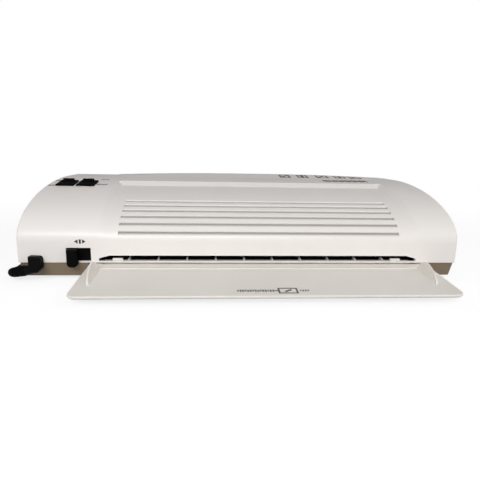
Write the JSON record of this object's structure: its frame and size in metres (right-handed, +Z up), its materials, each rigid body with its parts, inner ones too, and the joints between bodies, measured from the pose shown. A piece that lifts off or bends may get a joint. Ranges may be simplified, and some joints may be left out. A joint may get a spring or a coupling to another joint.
{
  "type": "pouch laminator",
  "caption": "Desk-top pouch laminator with an arched white cover, hinged exit tray, rocker switches, jam release and roller drive.",
  "frame": {"origin": "on the table under the middle of the machine, tray open, lead left out", "axes": "+X along the machine to the right as the exit side is faced, +Y from the exit side to the feed side, +Z up"},
  "size_m": [0.3524, 0.317, 0.0739],
  "materials": {
    "cover_white": "fine satin texture, warm white",
    "base_grey": "fine matte texture, warm grey",
    "black_plastic": "semi-gloss black",
    "foot_rubber": "matte",
    "silicone": "matte dark silicone",
    "steel": "zinc-plated sheet and bar",
    "aluminium": "plain extruded",
    "gear_plastic": "natural acetal",
    "bush_plastic": "heat-resistant plastic",
    "heater": "clad heating strip",
    "cord_black": "soft black sheath",
    "plated_pins": "nickel-plated"
  },
  "bodies": {
    "housing": {"base_case": "base_grey", "cord_coil": "cord_black", "cord_run": "cord_black", "cord_tail": "cord_black", "cord_tie": "black_plastic", "cover_screws": "steel", "exit_guide": "cover_white", "feed_guide_lower": "bush_plastic", "feed_guide_upper": "bush_plastic", "frame_screws": "steel", "heater_strips": "heater", "hot_plate_lower": "aluminium", "hot_plate_upper": "aluminium", "lower_bushes": "bush_plastic", "mode_switch_housing": "black_plastic", "motor_bracket": "steel", "motor_case": "steel", "motor_screws": "steel", "plug_body": "cord_black", "plug_pins": "plated_pins", "power_switch_housing": "black_plastic", "pressure_springs": "steel", "rubber_feet": "foot_rubber", "side_plate_left": "steel", "side_plate_right": "steel", "slider_rod": "steel", "strain_relief": "cord_black", "terminal_block": "cover_white", "thermal_fuse": "cover_white", "thermostats": "steel", "tie_bars": "steel", "top_cover": "cover_white", "tray_hinge_pins": "steel", "upper_bushes": "bush_plastic"},
    "exit_tray": {"exit_tray": "cover_white"},
    "hot_upper": {"hot_roller_upper_gear": "gear_plastic", "hot_roller_upper_shaft": "steel", "hot_roller_upper_sleeve": "silicone"},
    "hot_lower": {"hot_roller_lower_gear": "gear_plastic", "hot_roller_lower_shaft": "steel", "hot_roller_lower_sleeve": "silicone"},
    "exit_upper": {"exit_roller_upper_gear": "gear_plastic", "exit_roller_upper_shaft": "steel", "exit_roller_upper_sleeve": "silicone"},
    "exit_lower": {"exit_roller_lower_gear": "gear_plastic", "exit_roller_lower_shaft": "steel", "exit_roller_lower_sleeve": "silicone"},
    "motor_rotor": {"motor_shaft": "steel", "motor_pinion": "gear_plastic"},
    "release": {"release_slider": "black_plastic", "release_knob": "black_plastic", "idler_axle": "steel"},
    "idler": {"idler_gear": "gear_plastic"},
    "power_rocker": {"power_switch_rocker": "black_plastic"},
    "mode_rocker": {"mode_switch_rocker": "black_plastic"}
  },
  "joints": [
    {"name": "tray_hinge", "type": "hinge", "parent": "housing", "child": "exit_tray", "pos_m": [0.01385, -0.05355, 0.01089], "axis": [-1, 0, 0], "range_deg": [0, 15]},
    {"name": "hot_upper_spin", "type": "hinge", "parent": "housing", "child": "hot_upper", "pos_m": [-0.13, 0.00477, 0.03542], "axis": [1, 0, 0], "continuous": true},
    {"name": "hot_lower_spin", "type": "hinge", "parent": "housing", "child": "hot_lower", "pos_m": [-0.13, 0.00728, 0.01759], "axis": [1, 0, 0], "continuous": true},
    {"name": "exit_upper_spin", "type": "hinge", "parent": "housing", "child": "exit_upper", "pos_m": [-0.13, -0.0306, 0.02843], "axis": [1, 0, 0], "continuous": true},
    {"name": "exit_lower_spin", "type": "hinge", "parent": "housing", "child": "exit_lower", "pos_m": [-0.13, -0.02865, 0.01456], "axis": [1, 0, 0], "continuous": true},
    {"name": "motor_spin", "type": "hinge", "parent": "housing", "child": "motor_rotor", "pos_m": [-0.13, -0.01255, 0.02246], "axis": [1, 0, 0], "continuous": true},
    {"name": "release_slide", "type": "slide", "parent": "housing", "child": "release", "axis": [1, 0, 0], "range_m": [0, 0.0065]},
    {"name": "idler_spin", "type": "hinge", "parent": "release", "child": "idler", "pos_m": [-0.13, -0.01568, 0.04019], "axis": [1, 0, 0], "continuous": true},
    {"name": "power_switch_rock", "type": "hinge", "parent": "housing", "child": "power_rocker", "pos_m": [-0.1518, 0.01424, 0.06651], "axis": [1, 0, 0], "range_deg": [-18, 0]},
    {"name": "mode_switch_rock", "type": "hinge", "parent": "housing", "child": "mode_rocker", "pos_m": [-0.1345, 0.01424, 0.06651], "axis": [1, 0, 0], "range_deg": [-18, 0]}
  ],
  "couplings": [
    {"joint": "hot_lower_spin", "follows": "hot_upper_spin", "ratio": -1},
    {"joint": "idler_spin", "follows": "hot_upper_spin", "ratio": -0.75},
    {"joint": "exit_upper_spin", "follows": "hot_upper_spin", "ratio": 1.2857},
    {"joint": "exit_lower_spin", "follows": "hot_upper_spin", "ratio": -1.2857},
    {"joint": "motor_spin", "follows": "hot_upper_spin", "ratio": 1.5}
  ]
}
